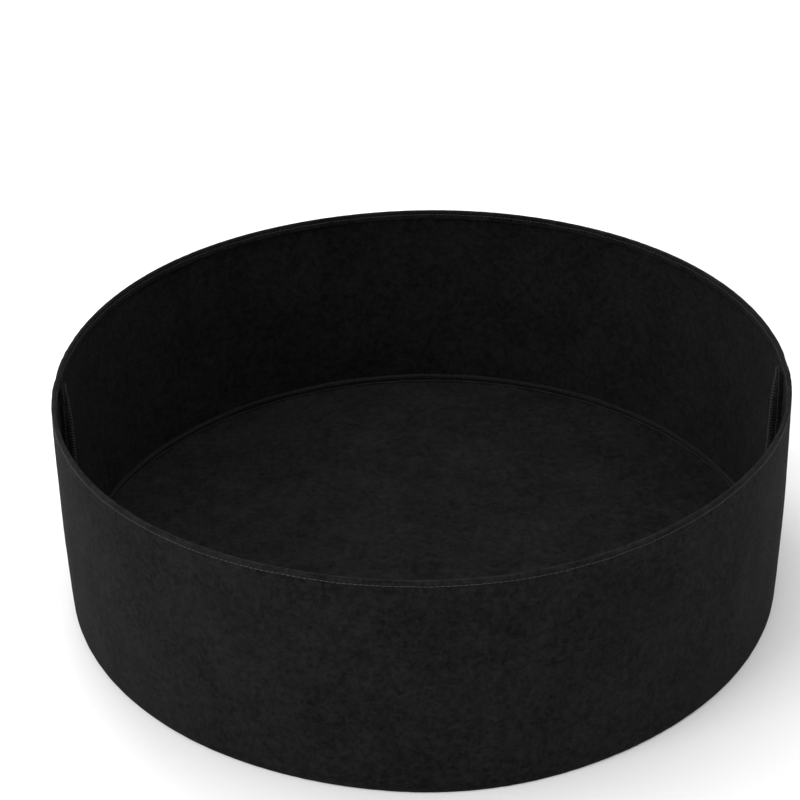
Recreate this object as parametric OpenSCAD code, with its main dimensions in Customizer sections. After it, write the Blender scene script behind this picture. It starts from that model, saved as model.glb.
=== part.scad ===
// Round fabric grow bag: a shallow open planter sewn from black needle-punched felt.
//
// Two half-round wall panels are joined by two upright side seams. Their top edge is turned
// inside as a narrow hem, and their bottom edge is turned inside and sewn to the turned-up
// edge of a round base panel. Each row of stitching is a needle thread on one face of the
// felt and a bobbin thread on the other, and raw edges inside are wrapped in overlock thread.
//
// Frame: millimetres, +Z up, the origin on the ground at the middle of the base. The side
// seams stand on the X axis, so the front panel lies on -Y and the back panel on +Y.

/* [Bag] */
// Outside diameter of the standing bag
bag_d = 910; // [400:5:1300]
// Height from the ground to the top of the rim
bag_h = 285; // [200:1:500]

/* [Felt] */
// Thickness of one layer of felt
felt_t = 2.4; // [1.8:0.1:3.5]
// Slit left between two layers where the felt is folded back on itself
fold_gap = 1.0; // [0.8:0.1:1.5]

/* [Rim hem] */
// How far the top edge is turned down inside the bag
hem_w = 13; // [11:0.5:30]
// Depth of the row of stitching below the rim
rim_row = 6; // [5.5:0.5:8]

/* [Base seam] */
// Height of the felt edges that stand up inside the bottom corner
base_seam_h = 14; // [13:0.5:20]
// Inner radius of the bend where the base panel turns up
base_bend = 1.6; // [1:0.1:2.5]

/* [Side seams] */
// How far the joined edges of the two wall panels stand into the bag
side_seam_w = 14; // [12:0.5:20]
// Distance of the stitching from the wall's inner face
side_row = 4; // [3:0.5:5]

/* [Thread] */
// Thickness of the needle and bobbin threads
thread_d = 0.8; // [0.5:0.1:1]
// Thickness of the overlock thread that wraps a raw edge
overlock_t = 0.6; // [0.4:0.1:0.7]
// How far the overlock thread reaches back from a raw edge
overlock_w = 5; // [4:0.5:5]

/* [Hidden] */

FELT = [0.115, 0.115, 0.12];
THREAD = [0.07, 0.07, 0.078];

FRONT = -1;                                     // the side of the bag that a panel is on
BACK = 1;
LEFT = -1;
RIGHT = 1;

ROUND = 240;                                    // segments round the bag
BEND = 32;                                      // segments round a fold
CUT = 1;                                        // how far a cutting shape runs past its target

// Radii of the layers' outer faces, from the outside of the bag inwards.
wall_r = bag_d / 2;                             // the wall itself
turned_r = wall_r - felt_t - fold_gap;          // the hem, and the wall's edge in the base seam
upturn_r = turned_r - felt_t;                   // the base panel's edge in the base seam
corner_r = upturn_r - felt_t;                   // inner face of the base seam

fold_r = felt_t + fold_gap / 2;                 // outer radius of a fold in the wall
bend_out = base_bend + felt_t;                  // outer radius of the base panel's bend
base_row = bend_out + thread_d / 2 + 1;         // height of the base seam's row of stitching

side_foot = base_seam_h + overlock_t + 1;       // where a side seam's free edges start
side_top = bag_h - hem_w - 1;                   // and where they end, under the hem
side_mid = (side_foot + side_top) / 2;
side_len = side_top - side_foot;
side_face_x = wall_r - felt_t;                  // where they leave the wall
side_edge_x = side_face_x - side_seam_w;        // and their raw edges
side_row_x = side_face_x - side_row;            // the row of stitching through them

// ---------- sections, drawn with x as the radius and y as the height ----------

// One upright layer of felt whose outer face is at radius r.
module layer_section(r, z0, z1) {
    translate([r - felt_t, z0]) square([felt_t, z1 - z0]);
}

// The half ring that joins the wall to the layer turned in beside it.
module fold_section(z, up) {
    side = 2 * (fold_r + CUT);
    translate([wall_r - fold_r, z]) difference() {
        circle(r = fold_r, $fn = BEND);
        circle(r = fold_gap / 2, $fn = BEND);
        translate([-side / 2, up ? -side : 0]) square(side);
    }
}

// Thread of one row, pressed level with a face of the felt: its inner radius is r.
module thread_section(r, z) {
    translate([r, z - thread_d / 2]) square(thread_d);
}

module rim_needle_section() {
    thread_section(wall_r - thread_d, bag_h - rim_row);
}

module rim_bobbin_section() {
    thread_section(turned_r - felt_t, bag_h - rim_row);
}

module base_needle_section() {
    thread_section(turned_r - thread_d, base_row);
}

module base_bobbin_section() {
    thread_section(corner_r, base_row);
}

module wall_section() {
    difference() {
        union() {
            layer_section(wall_r, fold_r, bag_h - fold_r);
            layer_section(turned_r, bag_h - hem_w, bag_h - fold_r);
            layer_section(turned_r, fold_r, base_seam_h);
            fold_section(bag_h - fold_r, up = true);
            fold_section(fold_r, up = false);
        }
        rim_needle_section();
        rim_bobbin_section();
        base_needle_section();
    }
}

module base_section() {
    bend_r = upturn_r - bend_out;
    difference() {
        union() {
            square([bend_r, felt_t]);
            layer_section(upturn_r, bend_out, base_seam_h);
            translate([bend_r, bend_out]) intersection() {
                difference() {
                    circle(r = bend_out, $fn = BEND);
                    circle(r = base_bend, $fn = BEND);
                }
                translate([0, -bend_out]) square(bend_out);
            }
        }
        base_bobbin_section();
    }
}

// ---------- pieces of felt ----------

// The raw edges of a side seam stand into the bag, one layer on each side of the X axis.
module side_seam_edges(side) {
    root_x = wall_r - felt_t / 2;
    difference() {
        translate([side * (side_edge_x + root_x) / 2, 0, side_mid])
            cube([root_x - side_edge_x, 2 * felt_t, side_len], center = true);
        side_seam_thread(side, FRONT, side_len + CUT);
        side_seam_thread(side, BACK, side_len + CUT);
    }
}

// The whole wall with both side seams, from which each panel takes its half.
module wall_ring() {
    rotate_extrude($fn = ROUND) wall_section();
    side_seam_edges(LEFT);
    side_seam_edges(RIGHT);
}

module wall_panel(facing) {
    color(FELT) intersection() {
        wall_ring();
        translate([-bag_d, facing == FRONT ? -bag_d : 0, -CUT])
            cube([2 * bag_d, bag_d, bag_h + 2 * CUT]);
    }
}

module base_panel() {
    color(FELT) rotate_extrude($fn = ROUND) base_section();
}

// ---------- thread ----------

module thread_ring() {
    color(THREAD) rotate_extrude($fn = ROUND) children();
}

// One straight run of thread, level with the face of a side seam's edge.
module side_seam_thread(side, facing, run = side_len) {
    color(THREAD) translate([side * side_row_x, facing * (felt_t - thread_d / 2), side_mid])
        cube([thread_d, thread_d, run], center = true);
}

// A band of thread over the raw edges of a side seam.
module side_seam_overlock_thread(side) {
    color(THREAD) difference() {
        translate([side * (side_edge_x + (overlock_w - overlock_t) / 2), 0, side_mid])
            cube([overlock_w + overlock_t, 2 * (felt_t + overlock_t), side_len], center = true);
        translate([side * (side_edge_x + (overlock_w + CUT) / 2), 0, side_mid])
            cube([overlock_w + CUT, 2 * felt_t, side_len + CUT], center = true);
    }
}

// A band of thread over the raw edges that stand in the base seam.
module base_seam_overlock_thread() {
    seam_t = turned_r - corner_r;
    foot = base_seam_h - overlock_w;
    thread_ring() difference() {
        translate([corner_r - overlock_t, foot])
            square([seam_t + 2 * overlock_t, overlock_w + overlock_t]);
        translate([corner_r, foot - CUT]) square([seam_t, overlock_w + CUT]);
    }
}

wall_panel(FRONT);  // wall_panel_front
wall_panel(BACK);  // wall_panel_back
base_panel();
thread_ring() rim_needle_section();  // rim_needle_thread
thread_ring() rim_bobbin_section();  // rim_bobbin_thread
side_seam_thread(LEFT, FRONT);  // side_seam_needle_thread_left
side_seam_thread(LEFT, BACK);  // side_seam_bobbin_thread_left
side_seam_overlock_thread(LEFT);  // side_seam_overlock_thread_left
side_seam_thread(RIGHT, FRONT);  // side_seam_needle_thread_right
side_seam_thread(RIGHT, BACK);  // side_seam_bobbin_thread_right
side_seam_overlock_thread(RIGHT);  // side_seam_overlock_thread_right
thread_ring() base_needle_section();  // base_seam_needle_thread
thread_ring() base_bobbin_section();  // base_seam_bobbin_thread
base_seam_overlock_thread();
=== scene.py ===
"""The looks of a round felt grow bag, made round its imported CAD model.

Each piece of felt is a thick sheet: a grid of points down the middle of the felt, with a face
on each side of it. Each row of stitching is made stitch by stitch, and the raw edges inside
are wrapped in overlock thread. One function, place(), bends the wall, its seams and its
threads together, so that every layer follows the same soft shape.

Lengths are in metres. Angles go round the bag from +X: the front of the bag is -Y.
"""

import math

import bpy
import numpy as np
from mathutils import Matrix, Vector


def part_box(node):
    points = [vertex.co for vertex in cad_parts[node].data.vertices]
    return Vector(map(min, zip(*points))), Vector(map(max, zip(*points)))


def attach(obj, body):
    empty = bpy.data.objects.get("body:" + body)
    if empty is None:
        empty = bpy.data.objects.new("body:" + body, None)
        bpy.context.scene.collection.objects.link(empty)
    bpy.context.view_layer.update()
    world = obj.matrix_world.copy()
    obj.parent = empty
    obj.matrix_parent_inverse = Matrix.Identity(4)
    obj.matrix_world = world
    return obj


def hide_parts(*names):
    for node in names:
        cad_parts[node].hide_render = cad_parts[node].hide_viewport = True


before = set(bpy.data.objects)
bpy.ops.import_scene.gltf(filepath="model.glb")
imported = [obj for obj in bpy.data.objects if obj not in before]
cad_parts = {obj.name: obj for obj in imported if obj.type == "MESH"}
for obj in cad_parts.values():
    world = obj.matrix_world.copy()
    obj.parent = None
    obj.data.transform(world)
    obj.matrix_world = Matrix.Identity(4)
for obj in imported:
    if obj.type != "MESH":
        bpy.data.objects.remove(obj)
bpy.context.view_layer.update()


# ---------- sizes, read from the CAD nodes ----------

def low(node):
    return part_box(node)[0]


def high(node):
    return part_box(node)[1]


def middle(node):
    return (low(node) + high(node)) / 2


WALL_R = high("wall_panel_front").x                   # outer face of the wall
RIM_Z = high("wall_panel_front").z
TURNED_R = high("base_seam_needle_thread").x          # outer face of the hem and of the turned edge
UPTURN_R = high("base_panel").x                       # outer face of the base panel's edge
FELT = TURNED_R - UPTURN_R                            # thickness of the felt
GAP = WALL_R - FELT - TURNED_R                        # slit inside a fold
CORNER_R = UPTURN_R - FELT                            # inner face of the base seam
FOLD_R = FELT + GAP / 2                               # outer radius of a fold
BASE_SEAM_Z = high("base_panel").z
BASE_ROW_Z = middle("base_seam_bobbin_thread").z
RIM_ROW_Z = middle("rim_needle_thread").z
SIDE_FOOT = low("side_seam_needle_thread_right").z
SIDE_TOP = high("side_seam_needle_thread_right").z
HEM_Z = SIDE_TOP + 0.001
SIDE_FACE = WALL_R - FELT                             # where a side seam's edges leave the wall
SIDE_ROW = SIDE_FACE - middle("side_seam_needle_thread_right").x
OVERLOCK_T = 0.0006                                   # part.scad's overlock_t
SIDE_W = SIDE_FACE - low("side_seam_overlock_thread_right").x - OVERLOCK_T
BEND_R = 0.0016 + FELT                                # outer radius of the base panel's bend: base_bend

MM = 0.001
TURN = 2 * math.pi
STITCHES = 460                                        # round the rim, and round the base seam
STITCH = TURN * WALL_R / STITCHES
SAMPLES = 2                                           # grid lines in each stitch of the wall


# ---------- the soft shape of the standing bag ----------

def waves(seed, count, fewest, most, slant=0.0):
    """A smooth random function of the angle and height, about -1 to 1, that closes on itself."""
    random = np.random.default_rng(seed)
    crests = random.integers(fewest, most + 1, count)
    phase = random.uniform(0, TURN, count)
    lean = random.uniform(-slant, slant, count)

    def value(angle, z=0.0):
        total = sum(np.cos(n * angle + k * z + p) for n, p, k in zip(crests, phase, lean))
        return total / math.sqrt(2 * count)

    return value


lobes = waves(11, 4, 2, 5)                            # the rim is not quite round
slack = waves(12, 14, 5, 17, slant=22)                # broad soft swells of the wall
ripples = waves(13, 26, 18, 46, slant=40)
rim_wave = waves(14, 5, 2, 6)                         # the rim is not quite level
rim_puckers = waves(15, 40, 60, 150)
base_puckers = waves(16, 44, 70, 190)
seam_lean = waves(17, 24, 8, 60)
hem_flare = waves(18, 30, 20, 110)
lumps = waves(22, 70, 110, 330, slant=380)            # the felt's own uneven thickness

LOBE_DEPTH = 3.0 * MM
BELLY_DEPTH = 2.2 * MM
SLACK_DEPTH = 1.1 * MM
RIPPLE_DEPTH = 0.45 * MM
RIM_PUCKER_DEPTH = 0.16 * MM
BASE_PUCKER_DEPTH = 0.16 * MM
LUMP_DEPTH = 0.13 * MM
SEAM_PUCKER_DEPTH = 0.35 * MM
SEAM_DIP_DEPTH = 0.8 * MM
FOOT_BULGE_AT = math.radians(-84)


def smooth(x):
    x = np.clip(x, 0, 1)
    return x * x * (3 - 2 * x)


def to_seam(angle):
    """The distance along the wall to the nearer side seam."""
    return WALL_R * np.abs(np.arcsin(np.sin(angle)))


def hump(distance, width):
    """1 at no distance, and near 0 past twice the width."""
    return np.exp(-(distance / width) ** 2)


def seam_puckers(z):
    """Small gathers where a side seam's thread pulls the felt up."""
    return np.sin(z / (3.1 * MM)) * (0.6 + 0.4 * np.sin(z / (13 * MM))) + 0.5 * np.sin(z / (5.3 * MM) + 1)


def foot_bulge(angle):
    """The photo's bag is not quite round at its foot: it stands out at the front, a little to the right."""
    off = np.angle(np.exp(1j * (angle - FOOT_BULGE_AT)))
    return 6.4 * MM * hump(off, 0.34) + 0.6 * MM * hump(off, 0.9)


def sway(angle, z):
    """How far the wall stands out from a true cylinder."""
    share = np.clip(z / RIM_Z, 0, 1)
    seam_off = to_seam(angle)
    clear = (1 - np.exp(-(seam_off / (8 * MM)) ** 4)) * smooth((z - BASE_SEAM_Z) / (12 * MM))
    total = LOBE_DEPTH * share ** 1.4 * lobes(angle)
    total = total + BELLY_DEPTH * np.sin(np.pi * share) ** 0.8
    total = total + SLACK_DEPTH * np.sin(np.pi * share ** 0.8) * slack(angle, z)
    total = total + RIPPLE_DEPTH * np.sin(np.pi * share) ** 0.5 * ripples(angle, z)
    total = total + RIM_PUCKER_DEPTH * hump(RIM_Z - z, 9 * MM) * rim_puckers(angle)
    total = total + BASE_PUCKER_DEPTH * hump(z, 12 * MM) * base_puckers(angle)
    total = total + LUMP_DEPTH * clear * lumps(angle, z)
    total = total + SEAM_PUCKER_DEPTH * hump(seam_off, 11 * MM) * seam_puckers(z)
    total = total + foot_bulge(angle) * (1 - smooth(share / 0.6))
    return total - SEAM_DIP_DEPTH * hump(seam_off, 18 * MM)


def rise(angle, z):
    """How far the wall stands above its own height: most at the front."""
    share = np.clip(z / RIM_Z, 0, 1)
    return MM * share ** 2 * (1.5 * rim_wave(angle) + 1.5 - 2.0 * np.sin(angle))


def place(angle, r, z):
    """The point of the standing bag at this angle, radius and height of the CAD model."""
    radius = r + sway(angle, z)
    return np.stack([radius * np.cos(angle), radius * np.sin(angle), z + rise(angle, z)], axis=-1)


# ---------- meshes ----------

def grid_quads(index, wrap=False):
    """The quads between neighbours in grids of point numbers."""
    if wrap:
        index = np.concatenate([index, index[..., :1]], axis=-1)
    corners = index[..., :-1, :-1], index[..., 1:, :-1], index[..., 1:, 1:], index[..., :-1, 1:]
    return np.stack(corners, axis=-1).reshape(-1, 4)


def unit(v):
    return v / np.maximum(np.linalg.norm(v, axis=-1, keepdims=True), 1e-12)


def fullness(distance):
    """How full the felt is at a distance from its raw edge, which ends rounded."""
    x = np.clip(distance / (0.7 * MM), 0, 1)
    return 0.45 + 0.55 * np.sqrt(1 - (1 - x) ** 2)


def felt_sheet(grid, front, back):
    """A closed sheet of felt round a grid of middle points, front and back being its half thicknesses."""
    normal = unit(np.cross(np.gradient(grid, axis=0), np.gradient(grid, axis=1)))
    faces = np.stack([grid + normal * front[..., None], grid - normal * back[..., None]])
    a, b = np.arange(faces[..., 0].size).reshape(faces.shape[:3])
    quads = [grid_quads(a), grid_quads(b)[:, ::-1]]
    for rim_a, rim_b in ((a[0], b[0]), (b[-1], a[-1]), (b[:, 0], a[:, 0]), (a[:, -1], b[:, -1])):
        quads.append(grid_quads(np.stack([rim_b, rim_a])))
    return faces.reshape(-1, 3), np.concatenate(quads)


def tubes(paths, up, radius, sides=8, plies=0, lay=1.0, closed=False):
    """Round thread along paths of equally many points. Plies twist round each other, lay apart."""
    if closed:
        ahead, behind = np.roll(paths, -1, axis=1), np.roll(paths, 1, axis=1)
        tangent = unit(ahead - behind)
    else:
        tangent = unit(np.gradient(paths, axis=1))
    side = unit(np.cross(tangent, up))
    top = np.cross(side, tangent)
    step = np.linalg.norm(np.diff(paths, axis=1, prepend=paths[:, :1]), axis=-1)
    along = np.cumsum(step, axis=1)[..., None]
    turn = np.arange(sides) / sides * TURN
    size = np.full(along.shape[:2] + (sides,), radius)
    if plies:
        size = size * (1 + 0.13 * np.cos(plies * turn - along / lay * TURN))
    if not closed:
        size[:, [0, -1]] *= 0.5
    ring = np.cos(turn)[:, None] * side[:, :, None] + np.sin(turn)[:, None] * top[:, :, None]
    points = paths[:, :, None] + size[..., None] * ring
    index = np.arange(size.size).reshape(size.shape)
    if closed:
        index = np.concatenate([index, index[:, :1]], axis=1)
        return points.reshape(-1, 3), grid_quads(index, wrap=True)
    quads = [grid_quads(index, wrap=True)]
    half = sides // 2
    for end, order in ((index[:, 0], -1), (index[:, -1], 1)):
        quads.append(grid_quads(np.stack([end[:, :half], end[:, :half - 1:-1]], axis=1))[:, ::order])
    return points.reshape(-1, 3), np.concatenate(quads)


def make_piece(name, parts, material, node):
    """One object from parts, each (points, quads), that stands for a CAD node."""
    starts = np.cumsum([0] + [len(points) for points, _ in parts])
    points = np.concatenate([points for points, _ in parts])
    quads = np.concatenate([quads + start for (_, quads), start in zip(parts, starts)])
    mesh = bpy.data.meshes.new(name)
    mesh.vertices.add(len(points))
    mesh.vertices.foreach_set("co", points.astype(np.float32).ravel())
    mesh.loops.add(quads.size)
    mesh.loops.foreach_set("vertex_index", quads.astype(np.int32).ravel())
    mesh.polygons.add(len(quads))
    mesh.polygons.foreach_set("loop_start", np.arange(0, quads.size, 4, dtype=np.int32))
    mesh.polygons.foreach_set("use_smooth", np.ones(len(quads), bool))
    mesh.update(calc_edges=True)
    mesh.validate()
    mesh.materials.append(material)
    piece = bpy.data.objects.new(name, mesh)
    bpy.context.scene.collection.objects.link(piece)
    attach(piece, "root")
    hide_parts(node)
    return piece


# ---------- the side seams ----------

TUCK = FELT / 2 + 0.2 * MM                            # middle radius of the turn into a seam
APART = FELT / 2 + 0.05 * MM                          # from a seam's middle to the middle of a layer
BUTT_GAP = 0.3 * MM                                   # between the panels' ends, past the side seam
LAY_OVER = 4.5 * MM                                   # how much of the edge bends as it lies over


def seam_angle(z):
    """How far a side seam's edges lie over towards the back, from straight into the bag."""
    near_end = np.exp(-((SIDE_TOP - z) / (32 * MM)) ** 2) + np.exp(-((z - SIDE_FOOT) / (26 * MM)) ** 2)
    flop = 0.6 * np.sin(z / (31 * MM) + 0.7) + 0.4 * np.sin(z / (13 * MM) + 2.1)
    return np.radians(24 + 54 * np.clip(near_end, 0, 1) + 8 * flop)


def seam_path(w, z):
    """Where the middle of a side seam lies at a distance w from the wall: inwards, over and its angle."""
    bend = seam_angle(z)
    turned = bend * np.clip(w / LAY_OVER, 0, 1)
    beyond = np.maximum(w - LAY_OVER, 0)
    inwards = LAY_OVER / bend * np.sin(turned) + beyond * np.cos(bend)
    over = LAY_OVER / bend * (1 - np.cos(turned)) + beyond * np.sin(bend)
    return inwards, over, turned


def seam_point(side, z, w, off):
    """A point of a side seam, off from its middle towards the back, with its direction and normal."""
    at = math.pi if side < 0 else 0.0
    z, w, off = np.broadcast_arrays(z, w, off)
    root = place(at + 0 * z, WALL_MID - TUCK, z)
    inwards, over, turned = seam_path(w, z)
    in_way = np.array([-side, 0.0, 0.0])
    back_way = np.array([0.0, 1.0, 0.0])
    cos, sin = np.cos(turned)[..., None], np.sin(turned)[..., None]
    out_along = cos * in_way + sin * back_way
    normal = cos * back_way - sin * in_way
    point = root + inwards[..., None] * in_way + over[..., None] * back_way + off[..., None] * normal
    return point, out_along, normal


# ---------- the wall ----------

WALL_MID = WALL_R - FELT / 2
TURNED_MID = TURNED_R - FELT / 2
FOLD_MID = (WALL_MID - TURNED_MID) / 2


def spaced(start, end, step):
    """Points from start to end, about step apart."""
    return np.linspace(start, end, max(2, round(abs(end - start) / step) + 1))


def wall_section():
    """Radii and heights down the middle of the felt, and which stretch of it each point is in."""
    top, foot = RIM_Z - FOLD_R, FOLD_R
    centre = (WALL_MID + TURNED_MID) / 2
    over = np.linspace(math.pi, 0, 10)[:-1]
    under = np.linspace(0, -math.pi, 9)[:-1]
    heights = np.concatenate([
        spaced(top, top - 12 * MM, 1.4 * MM)[:-1],
        spaced(top - 12 * MM, 22 * MM, 5.0 * MM)[:-1],
        spaced(22 * MM, foot, 2.6 * MM)[:-1],
    ])
    hem = spaced(HEM_Z, top, 1.3 * MM)[:-1]
    turned = spaced(foot, BASE_SEAM_Z, 1.9 * MM)
    stretches = [
        ("hem", 0 * hem + TURNED_MID, hem),
        ("rim", centre + FOLD_MID * np.cos(over), top + FOLD_MID * np.sin(over)),
        ("wall", 0 * heights + WALL_MID, heights),
        ("foot", centre + FOLD_MID * np.cos(under), foot + FOLD_MID * np.sin(under)),
        ("seam", 0 * turned + TURNED_MID, turned),
    ]
    names = np.concatenate([[name] * len(z) for name, _, z in stretches])
    return np.concatenate([r for _, r, _ in stretches]), np.concatenate([z for _, _, z in stretches]), names


def hem_lean(angle, z):
    """How far the hem's free edge stands away from the wall."""
    share = np.clip((RIM_ROW_Z - z) / (RIM_ROW_Z - HEM_Z), 0, 1)
    lump = 1.6 * np.exp(-(to_seam(angle) / (10 * MM)) ** 2)
    return share ** 1.5 * (0.9 + 0.7 * hem_flare(angle) + lump) * MM


def seam_tilt(angle, z):
    """How far the standing edges of the base seam lean into the bag."""
    share = np.clip((z - BASE_ROW_Z) / (BASE_SEAM_Z - BASE_ROW_Z), 0, 1)
    return share ** 1.3 * (1.3 + 0.9 * seam_lean(angle)) * MM


def stitch_dent(angle, z, row_z):
    """How far thread pulls the felt in, from 0 to 1: most at the needle holes."""
    hole = 0.5 + 0.5 * np.cos(angle * STITCHES)
    return np.exp(-((z - row_z) / (1.3 * MM)) ** 2) * (0.45 + 0.55 * hole ** 2)


def panel_end(grid, z, standing, way):
    """The columns past one end of a panel: the turn into the side seam, and the edge that stands in it.

    Above and below the seam, where standing is 0, the end butts against the other panel instead.
    Each column comes with its distance from the cut end, and how much thinner the felt is there.
    """
    edge, beside = (grid[:, -1], grid[:, -2]) if way > 0 else (grid[:, 0], grid[:, 1])
    onward = unit(edge - beside)
    down = unit(np.gradient(edge, axis=0))
    out = unit(np.cross(down, onward)) * way
    turned_in = []
    for turn in np.radians([25, 55, 90]):
        turned_in.append(edge + TUCK * (math.sin(turn) * onward - (1 - math.cos(turn)) * out))
    side, off = np.sign(edge[0, 0]), APART * np.sign(edge[0, 1])
    for w in np.linspace(0, 1, 11)[1:] * SIDE_W:
        turned_in.append(seam_point(side, z, w * np.maximum(standing, 0.02), off)[0])
    share = standing[:, None]
    reach = (TUCK + APART - BUTT_GAP / 2) * (1 - standing) + (TUCK * math.pi / 2 + SIDE_W) * standing
    columns, to_end = [], []
    for i, column in enumerate(turned_in, 1):
        part = i / len(turned_in)
        butted = edge + (TUCK + APART - BUTT_GAP / 2) * part * onward
        columns.append(butted * (1 - share) + column * share)
        to_end.append(reach * (1 - part))
    pinch = 1 - 1.6 * standing * (1 - standing)
    full = fullness(np.stack(to_end, axis=1)) * pinch[:, None]
    columns = np.stack(columns, axis=1)
    return (columns, full) if way > 0 else (columns[:, ::-1], full[:, ::-1])


def wall_panel(name, node, first_angle, material):
    r, z, stretch = wall_section()
    r, z, stretch = r[:, None], z[:, None], stretch[:, None]
    tuck = (TUCK + APART) / WALL_R
    steps = STITCHES // 2 * SAMPLES
    angle = first_angle + np.linspace(tuck, math.pi - tuck, steps + 1)[None, :]
    lean = np.where(stretch == "hem", hem_lean(angle, z), 0)
    lean = lean + np.where(stretch == "seam", seam_tilt(angle, z), 0)
    grid = place(angle, r - lean, z + 0 * angle)

    in_wall = (stretch == "wall")[:, 0]
    standing = smooth((z[:, 0] - SIDE_FOOT) / (2 * MM)) * smooth((SIDE_TOP - z[:, 0]) / (2 * MM))
    standing = np.where(in_wall, standing, 0)
    (first, first_full), (last, last_full) = (panel_end(grid, z[:, 0], standing, way) for way in (-1, 1))
    extra = first.shape[1]
    full = np.concatenate([first_full, np.ones(grid.shape[:2]), last_full], axis=1)
    grid = np.concatenate([first, grid, last], axis=1)

    travel = np.cumsum(np.hypot(np.diff(r[:, 0], prepend=r[0, 0]), np.diff(z[:, 0], prepend=z[0, 0])))
    full = full * fullness(np.minimum(travel, travel[-1] - travel))[:, None]
    half = FELT / 2 * full
    dent = np.zeros(grid.shape[:2])
    dent[:, extra:-extra] = np.where(stretch == "seam", 0, stitch_dent(angle, z, RIM_ROW_Z))
    sheet = felt_sheet(grid, half - 0.45 * MM * dent, half)
    return make_piece(name, [sheet], material, node)


# ---------- the base ----------

undulation = waves(21, 9, 2, 7, slant=20)


def base_lift(x, y):
    """How far the base panel stands off the ground: soft islands, and two old folds from packing."""
    share = np.hypot(x, y) / WALL_R
    swell = undulation(np.arctan2(y, x), share * 0.5) * share + 0.5 * np.sin(x / 0.09 + 1) * np.cos(y / 0.11)
    islands = 3.0 * MM * np.maximum(swell - 0.1, 0) ** 1.5
    folds = 1.5 * MM * (np.exp(-((x - 0.012) / (7 * MM)) ** 2) + np.exp(-((y + 0.02) / (7 * MM)) ** 2))
    relief = np.sin(x / 0.0051 + 2 * np.sin(y / 0.023)) + np.sin(y / 0.0063 + 2 * np.sin(x / 0.019))
    lift = islands + folds + 0.14 * MM * relief + 0.3 * MM
    return lift * (1 - smooth((share - 0.72) / 0.25))


def base_panel(name, material):
    """The disc and its turned-up edge as one square grid drawn out to a round one."""
    upturn_mid = UPTURN_R - FELT / 2
    bend = BEND_R - FELT / 2
    flat_r = upturn_mid - bend
    turn = np.radians([11, 23, 34, 45, 56, 67, 79])
    up = spaced(BEND_R, BASE_SEAM_Z, 1.0 * MM)
    flat = np.linspace(0, flat_r, 72)
    ring_r = np.concatenate([flat, flat_r + bend * np.sin(turn), 0 * up + upturn_mid])
    ring_z = np.concatenate([0 * flat, bend * (1 - np.cos(turn)), up - FELT / 2]) + FELT / 2
    rings = len(ring_r) - 1
    a, b = np.meshgrid(np.arange(-rings, rings + 1), np.arange(-rings, rings + 1), indexing="ij")
    ring = np.maximum(abs(a), abs(b))
    wide = abs(a) >= abs(b)
    slope = np.where(wide, b, a) / np.maximum(np.where(wide, abs(a), abs(b)), 1)
    eighth = slope * math.pi / 4
    angle = np.where(
        wide,
        np.where(a >= 0, eighth, math.pi - eighth),
        np.where(b >= 0, math.pi / 2 - eighth, -math.pi / 2 + eighth),
    )
    r, z = ring_r[ring], ring_z[ring]
    standing = z > FELT / 2 + 0.1 * MM
    radius = r - np.where(standing, seam_tilt(angle, z), 0) + sway(angle, z) * (r / upturn_mid) ** 8
    x, y = radius * np.cos(angle), radius * np.sin(angle)
    lift = np.where(standing, 0, base_lift(x, y))
    grid = np.stack([x, y, z + lift], axis=-1)
    travel = (np.cumsum(np.hypot(np.diff(ring_r, prepend=0), np.diff(ring_z, prepend=ring_z[0]))))[ring]
    half = FELT / 2 * fullness(travel.max() - travel)
    dent = np.where(standing, stitch_dent(angle, z, BASE_ROW_Z), 0)
    sheet = felt_sheet(grid, half - 0.4 * MM * dent, half)
    return make_piece(name, [sheet], material, "base_panel")


# ---------- thread ----------

THREAD_R = 0.36 * MM
OVERLOCK_R = 0.24 * MM
OVERLOCK_W = 5 * MM
OVERLOCK_PITCH = 4 * MM


def stitches(holes, out, radius=THREAD_R, seed=0):
    """A run of stitches from hole to hole, out being the felt's outward direction at each."""
    random = np.random.default_rng(seed)
    run = np.diff(holes, axis=0)
    across = unit(np.cross(out[:-1], run))
    t = np.array([0, 0.05, 0.14, 0.3, 0.5, 0.7, 0.86, 0.95, 1])[None, :, None]
    wander = random.normal(0, 0.13 * MM, (len(run), 1, 1))
    height = 0.16 * MM - 1.15 * MM * abs(2 * t - 1) ** 5
    slant = 0.22 * MM * (2 * t - 1) * (1 - abs(2 * t - 1) ** 6)
    paths = holes[:-1, None] + run[:, None] * (0.04 + 0.92 * t) + out[:-1, None] * height
    paths = paths + across[:, None] * (slant + wander)
    return tubes(paths, out[:-1, None] + 0 * paths, radius, sides=10, plies=3, lay=1.9 * MM)


def outward(angle):
    return np.stack([np.cos(angle), np.sin(angle), 0 * angle], axis=-1)


def round_row(r, z, facing, seed):
    """A row of stitches all the way round the bag, on the face of the felt at radius r."""
    angle = np.arange(STITCHES + 1) / STITCHES * TURN
    row = z + 0.35 * MM * waves(seed, 12, 9, 70)(angle)
    radius = r - (seam_tilt(angle, row) if z < RIM_Z / 2 else 0)
    return stitches(place(angle, radius, row), facing * outward(angle), seed=seed)


def straight_row(side, facing, seed):
    """A row of stitches down a side seam, on its front face (-1) or its back face (1)."""
    count = round((SIDE_TOP - SIDE_FOOT) / STITCH)
    z = np.linspace(SIDE_TOP - 2 * MM, SIDE_FOOT + 1 * MM, count + 1)
    holes, _, normal = seam_point(side, z, SIDE_ROW, facing * (APART + FELT / 2))
    return stitches(holes, facing * normal, seed=seed)


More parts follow.
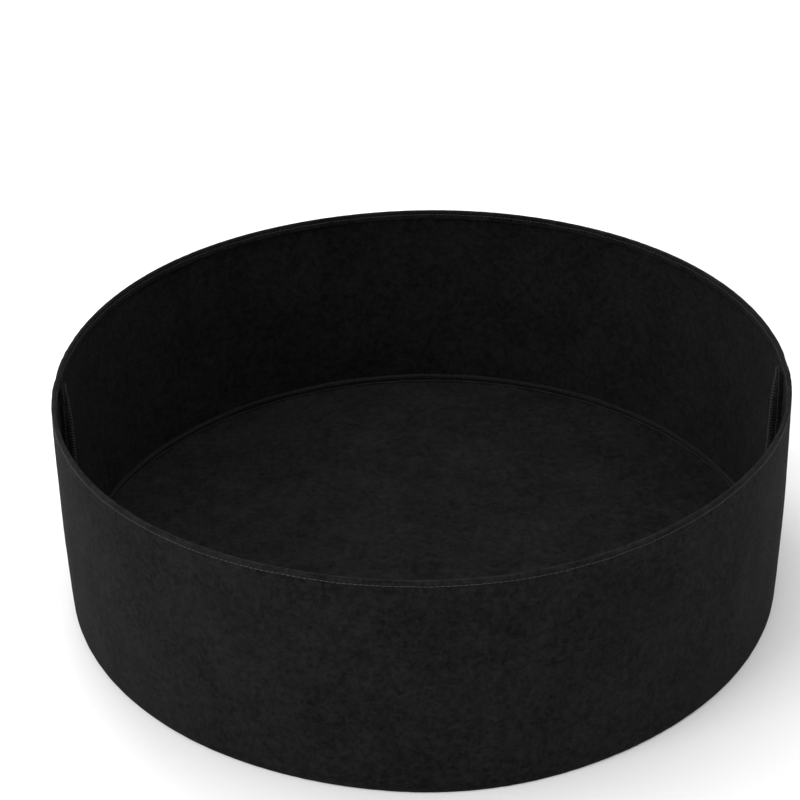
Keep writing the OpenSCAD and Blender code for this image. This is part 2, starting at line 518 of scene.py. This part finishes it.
def over_edge(t, half):
    """Overlock's path over a raw edge after t rounds: its height above the edge, and its offset."""
    height = np.array([-OVERLOCK_W, -0.5 * MM, 0.25 * MM, 0.25 * MM, -0.5 * MM, -OVERLOCK_W])
    offset = np.array([-1, -1, -0.75, 0.75, 1, 1]) * half
    travel = np.concatenate([[0], np.cumsum(np.hypot(np.diff(height), np.diff(offset)))])
    at = (0.5 + np.arcsin(0.995 * np.sin(TURN * t)) / math.pi) * travel[-1]
    return np.interp(at, travel, height), np.interp(at, travel, offset)


def overlock_thread(frame_at, rounds, half, closed):
    """Thread wrapped over an edge. frame_at(t) gives the edge's point, its up and its across."""
    each = 20
    t = np.arange(rounds * each + (0 if closed else 1)) / each
    height, offset = over_edge(t, half)
    edge, up, across = frame_at(t, height)
    share = (offset / half)[:, None]
    path = edge + offset[:, None] * across
    away = unit(share * across + (1.02 - abs(share)) * up)
    return tubes(path[None], away[None], OVERLOCK_R, sides=6, closed=closed)


def base_overlock():
    rounds = round(TURN * WALL_R / OVERLOCK_PITCH)
    mid = (TURNED_R + CORNER_R) / 2

    def frame_at(t, height):
        angle = t / rounds * TURN
        z = BASE_SEAM_Z + height
        out = outward(angle)
        tilt = seam_tilt(angle, np.minimum(z, BASE_SEAM_Z))
        return place(angle, mid - tilt, z), 0 * out + [0, 0, 1], out

    return overlock_thread(frame_at, rounds, mid - CORNER_R + OVERLOCK_R, closed=True)


def side_overlock(side):
    top, foot = SIDE_TOP - 1 * MM, SIDE_FOOT + 1 * MM
    rounds = round((top - foot) / OVERLOCK_PITCH)

    def frame_at(t, height):
        return seam_point(side, top + (foot - top) * t / rounds, SIDE_W + height, 0.0)

    return overlock_thread(frame_at, rounds, APART + FELT / 2 + OVERLOCK_R, closed=False)


# ---------- materials ----------

class Nodes:
    """A short way to write a material's nodes."""

    def __init__(self, name):
        self.material = bpy.data.materials.new(name)
        self.material.use_nodes = True
        self.tree = self.material.node_tree
        self.shader = self.tree.nodes["Principled BSDF"]
        self.place = self.tree.nodes.new("ShaderNodeTexCoord").outputs["Object"]

    def add(self, kind, **inputs):
        node = self.tree.nodes.new(kind)
        for key, value in inputs.items():
            self.set(node.inputs[key.replace("_", " ")], value)
        return node

    def set(self, socket, value):
        if isinstance(value, bpy.types.NodeSocket):
            self.tree.links.new(value, socket)
        else:
            socket.default_value = value

    def noise(self, size, detail=2.0, roughness=0.5, distortion=0.0, shift=0.0):
        """Noise whose lumps are about size across, from 0 to 1."""
        moved = self.add("ShaderNodeVectorMath", Vector=self.place)
        moved.inputs[1].default_value = (shift, shift * 0.7, shift * 1.3)
        node = self.add("ShaderNodeTexNoise", Vector=moved.outputs[0], Scale=1 / size, Detail=detail,
                        Roughness=roughness, Distortion=distortion)
        return node.outputs["Fac"]

    def math(self, operation, a, b=0.0):
        node = self.tree.nodes.new("ShaderNodeMath")
        node.operation = operation
        self.set(node.inputs[0], a)
        self.set(node.inputs[1], b)
        return node.outputs[0]

    def remap(self, value, low, high, to_low=0.0, to_high=1.0):
        node = self.tree.nodes.new("ShaderNodeMapRange")
        node.interpolation_type = "SMOOTHSTEP"
        for i, x in enumerate((value, low, high, to_low, to_high)):
            self.set(node.inputs[i], x)
        return node.outputs[0]

    def fibres(self, size, shift, width=0.035):
        """Thin curling lines: where a noise passes through its middle value."""
        level = self.noise(size, detail=1.5, distortion=1.2, shift=shift)
        off = self.math("ABSOLUTE", self.math("SUBTRACT", level, 0.5))
        return self.remap(off, 0.0, width, 1.0, 0.0)


    def rubbed_folds_and_rim_highlight(self, seed):
        """Paler, rubbed patches where the foot meets the ground; along the rim's fold a paler band that is
        partly rubbing and partly a painted highlight on the fold's upward top.
        """
        height = self.add("ShaderNodeSeparateXYZ", Vector=self.place).outputs["Z"]
        # painted highlight: the upward top of the rim's fold is made paler, mixed with rubbed patches
        rim = self.remap(height, RIM_Z - 3.5 * MM, RIM_Z + 1.5 * MM)
        foot = self.remap(height, 0.5 * MM, 6 * MM, 1.0, 0.0)
        rubbing = self.noise(28 * MM, detail=4, roughness=0.65, shift=seed + 8)
        patches = self.remap(rubbing, 0.42, 0.62, 0.25, 1.0)
        return self.math("MULTIPLY", self.math("ADD", rim, foot), self.math("MULTIPLY", patches, 0.55))


def felt_material(name, colour, seed):
    """Needle-punched felt: matted fibres over soft clumps, a little uneven in its black, with rubbing and a
    painted highlight along the rim's fold.
    """
    n = Nodes(name)
    fine = [n.fibres(size * MM, seed + i) for i, size in enumerate((2.6, 3.4, 4.3, 2.1))]
    mat = n.math("MAXIMUM", n.math("MAXIMUM", fine[0], fine[1]), n.math("MAXIMUM", fine[2], fine[3]))
    clumps = n.noise(8.0 * MM, detail=4, roughness=0.62, distortion=0.6, shift=seed + 5)
    grain = n.noise(0.7 * MM, detail=2, shift=seed + 6)
    clouds = n.noise(70 * MM, detail=3, roughness=0.55, shift=seed + 7)
    tone = n.math("ADD", n.remap(clouds, 0.3, 0.7, -0.2, 0.2), n.remap(clumps, 0.3, 0.7, -0.5, 0.5))
    tone = n.math("ADD", tone, n.remap(grain, 0.3, 0.7, -0.3, 0.3))
    tone = n.math("ADD", tone, n.math("MULTIPLY", mat, 0.7))
    # rubbed wear at the foot, and a painted highlight with rubbing along the rim's fold
    tone = n.math("ADD", tone, n.rubbed_folds_and_rim_highlight(seed))
    level = n.math("MAXIMUM", n.math("ADD", tone, 0.62), 0.08)
    tint = n.add("ShaderNodeCombineColor")
    for socket, share in zip(tint.inputs, colour):
        n.set(socket, n.math("MULTIPLY", level, share))
    n.set(n.shader.inputs["Base Color"], tint.outputs[0])
    n.set(n.shader.inputs["Roughness"], n.remap(mat, 0, 1, 0.98, 0.82))
    height = n.math("ADD", n.math("MULTIPLY", mat, 0.35), n.math("MULTIPLY", clumps, 0.9))
    height = n.math("ADD", height, n.math("MULTIPLY", grain, 0.25))
    bump = n.add("ShaderNodeBump", Height=height, Strength=1.0, Distance=0.8 * MM)
    n.set(n.shader.inputs["Normal"], bump.outputs[0])
    n.shader.inputs["Specular IOR Level"].default_value = 0.05
    n.shader.inputs["Sheen Weight"].default_value = 0.020
    n.shader.inputs["Sheen Roughness"].default_value = 0.4
    return n.material


def thread_material():
    """Spun black polyester, a little glossier than the felt."""
    n = Nodes("black_thread")
    fuzz = n.noise(0.5 * MM, detail=2)
    level = n.remap(fuzz, 0.3, 0.7, 0.009, 0.020)
    tint = n.add("ShaderNodeCombineColor", Red=level, Green=level, Blue=level)
    n.set(n.shader.inputs["Base Color"], tint.outputs[0])
    n.set(n.shader.inputs["Roughness"], n.remap(fuzz, 0.3, 0.7, 0.45, 0.6))
    bump = n.add("ShaderNodeBump", Height=fuzz, Strength=0.4, Distance=0.1 * MM)
    n.set(n.shader.inputs["Normal"], bump.outputs[0])
    n.shader.inputs["Sheen Weight"].default_value = 0.1
    return n.material


def floor_material():
    n = Nodes("pale_floor")
    level = n.remap(n.noise(0.6, detail=2), 0.3, 0.7, 0.873, 0.879)
    tint = n.add("ShaderNodeCombineColor", Red=level, Green=level, Blue=level)
    n.set(n.shader.inputs["Base Color"], tint.outputs[0])
    n.shader.inputs["Roughness"].default_value = 0.9
    return n.material


# ---------- the pieces ----------

BLACK = (0.0076, 0.0076, 0.0079)
wall_felt = felt_material("wall_felt", BLACK, seed=3)
base_felt = felt_material("base_felt", BLACK, seed=31)
black_thread = thread_material()


def thread(node, part):
    return make_piece(node.replace("_thread", "_stitches"), [part], black_thread, node)


front = wall_panel("front_wall_felt", "wall_panel_front", math.pi, wall_felt)
back = wall_panel("back_wall_felt", "wall_panel_back", 0.0, wall_felt)
base = base_panel("base_felt", base_felt)

rim_threads = [
    thread("rim_needle_thread", round_row(WALL_R - 0.3 * MM, RIM_ROW_Z, 1, seed=41)),
    thread("rim_bobbin_thread", round_row(TURNED_R - FELT + 0.3 * MM, RIM_ROW_Z, -1, seed=42)),
]
side_threads = []
for side, word in ((-1, "left"), (1, "right")):
    side_threads += [
        thread(f"side_seam_needle_thread_{word}", straight_row(side, -1, seed=43 + side)),
        thread(f"side_seam_bobbin_thread_{word}", straight_row(side, 1, seed=46 + side)),
        thread(f"side_seam_overlock_thread_{word}", side_overlock(side)),
    ]
base_threads = [
    thread("base_seam_needle_thread", round_row(TURNED_R, BASE_ROW_Z, 1, seed=51)),
    thread("base_seam_bobbin_thread", round_row(CORNER_R + 0.3 * MM, BASE_ROW_Z, -1, seed=52)),
    thread("base_seam_overlock_thread", base_overlock()),
]


# ---------- floor, lights and camera ----------

def add_floor():
    mesh = bpy.data.meshes.new("floor")
    half = 9.0
    corners = [(-half, -half, 0), (half, -half, 0), (half, half, 0), (-half, half, 0)]
    mesh.from_pydata(corners, [], [(0, 1, 2, 3)])
    mesh.materials.append(floor_material())
    floor = bpy.data.objects.new("floor", mesh)
    bpy.context.scene.collection.objects.link(floor)


def add_softbox(name, at, aim, size, power):
    light = bpy.data.lights.new(name, "AREA")
    light.shape = "RECTANGLE"
    light.size, light.size_y = size
    light.energy = power
    lamp = bpy.data.objects.new(name, light)
    lamp.location = at
    lamp.rotation_euler = (Vector(aim) - Vector(at)).to_track_quat("-Z", "Y").to_euler()
    bpy.context.scene.collection.objects.link(lamp)


LENS = 96
TILT = math.radians(31.0)
ROLL = math.radians(-1.4)
DISTANCE = 5.99 * WALL_R
AIM_RIGHT = -0.0555 * WALL_R
AIM_UP = 0.185 * WALL_R


def add_camera():
    """The photo's view: a long lens, above the front of the bag, aimed a little above its middle."""
    right = Vector((1, 0, 0))
    up = Vector((0, math.sin(TILT), math.cos(TILT)))
    back = Vector((0, -math.cos(TILT), math.sin(TILT)))
    aim = Vector((0, 0, RIM_Z / 2)) + AIM_RIGHT * right + AIM_UP * up
    turned_right = right * math.cos(ROLL) + up * math.sin(ROLL)
    turned_up = up * math.cos(ROLL) - right * math.sin(ROLL)
    camera = bpy.data.objects.new("camera", bpy.data.cameras.new("camera"))
    camera.data.lens = LENS
    axes = Matrix((turned_right, turned_up, back)).transposed()
    camera.matrix_world = Matrix.Translation(aim + back * DISTANCE) @ axes.to_4x4()
    bpy.context.scene.collection.objects.link(camera)
    bpy.context.scene.camera = camera


def add_world(strength):
    world = bpy.data.worlds.new("studio")
    world.use_nodes = True
    background = world.node_tree.nodes["Background"]
    background.inputs["Color"].default_value = (1, 1, 1, 1)
    background.inputs["Strength"].default_value = strength
    bpy.context.scene.world = world


add_floor()
add_softbox("overhead", (-0.3, 0.2, 2.6), (0, 0, 0.1), (2.6, 2.6), 34)
add_softbox("key", (-2.4, -2.0, 1.9), (0, 0, 0.15), (1.5, 1.5), 44)
add_softbox("back", (-1.2, 2.7, 1.9), (0, 0, 0.15), (1.5, 1.5), 34)
add_world(0.92)
bpy.context.scene.view_settings.view_transform = "Standard"
add_camera()
